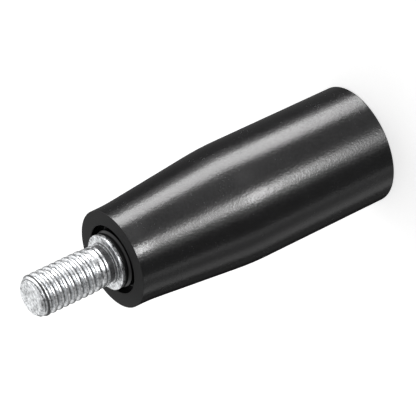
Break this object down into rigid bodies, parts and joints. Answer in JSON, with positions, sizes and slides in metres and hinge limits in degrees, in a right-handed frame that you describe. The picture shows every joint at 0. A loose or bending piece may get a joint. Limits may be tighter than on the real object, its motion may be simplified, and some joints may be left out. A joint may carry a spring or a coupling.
{
  "type": "revolving machine handle",
  "caption": "Revolving machine handle: a black moulded grip, tapered to the front, that turns freely on a zinc-plated steel spindle with a threaded stud and a thin collar.",
  "frame": {"origin": "centre of the grip's flat far end, on which the handle stands", "axes": "+Z along the spindle's axis, from the grip's far end towards the tip of the threaded stud; X and Y are across the axis"},
  "size_m": [0.017, 0.017, 0.0541],
  "materials": {
    "black_phenolic": "glossy moulded thermoset with fine flow marks",
    "black_bearing_plastic": "satin",
    "zinc_plated_steel": "bright blue-passivated zinc",
    "spring_steel": "dark phosphated"
  },
  "bodies": {
    "spindle_body": {"spindle": "zinc_plated_steel", "thrust_washer": "black_bearing_plastic", "rear_washer": "zinc_plated_steel", "retaining_ring": "spring_steel"},
    "grip_body": {"grip": "black_phenolic", "front_bush": "black_bearing_plastic", "rear_bush": "black_bearing_plastic", "end_cap": "black_bearing_plastic"}
  },
  "joints": [
    {"name": "grip_spin", "type": "hinge", "parent": "spindle_body", "child": "grip_body", "pos_m": [0, 0, 0.02], "axis": [0, 0, 1], "continuous": true}
  ]
}
